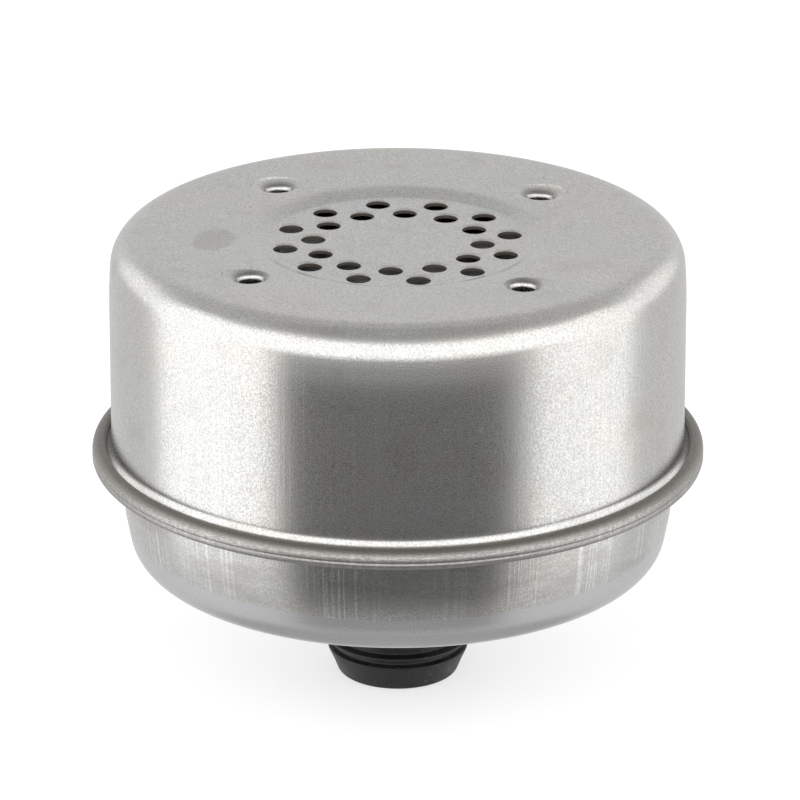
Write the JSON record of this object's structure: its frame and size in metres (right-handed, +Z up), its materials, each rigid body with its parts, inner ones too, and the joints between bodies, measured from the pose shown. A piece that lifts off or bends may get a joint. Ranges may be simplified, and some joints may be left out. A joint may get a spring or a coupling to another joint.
{
  "type": "small-engine air filter housing",
  "caption": "Round crimped steel air filter housing with a perforated dished top, a rolled seam, a shallow lower pan and a ribbed rubber neck that plugs into an intake port.",
  "frame": {"origin": "centre of the neck's end face, the lowest face of the part", "axes": "+Z up the housing's axis, from the neck to the perforated top"},
  "size_m": [0.1224, 0.1224, 0.0938],
  "materials": {
    "drawn_steel": "satin coated sheet steel, lightly scuffed and drawn",
    "plated_steel": "plated sheet steel",
    "spring_steel": "drawn spring wire",
    "neck_rubber": "matte moulded black rubber",
    "seal_rubber": "matte sealing rubber",
    "pleat_paper": "resin-treated pleated filter paper",
    "grey_foam": "open-cell foam",
    "plastisol": "cast potting compound"
  },
  "bodies": {
    "root": {"upper_shell": "drawn_steel", "lower_pan": "drawn_steel", "seam_seal": "seal_rubber", "intake_deflector": "plated_steel", "hold_down_spring": "spring_steel", "element_top_cap": "plated_steel", "element_bottom_cap": "plated_steel", "top_potting": "plastisol", "bottom_potting": "plastisol", "pleated_media": "pleat_paper", "media_seam_clip": "plated_steel", "core_tube": "plated_steel", "guard_screen": "plated_steel", "foam_precleaner": "grey_foam", "element_seat_gasket": "seal_rubber", "outlet_tube": "plated_steel", "tube_seal_ring": "seal_rubber", "tube_backing_washer": "plated_steel", "tube_lock_ring": "plated_steel", "neck_grommet": "neck_rubber"}
  },
  "joints": []
}
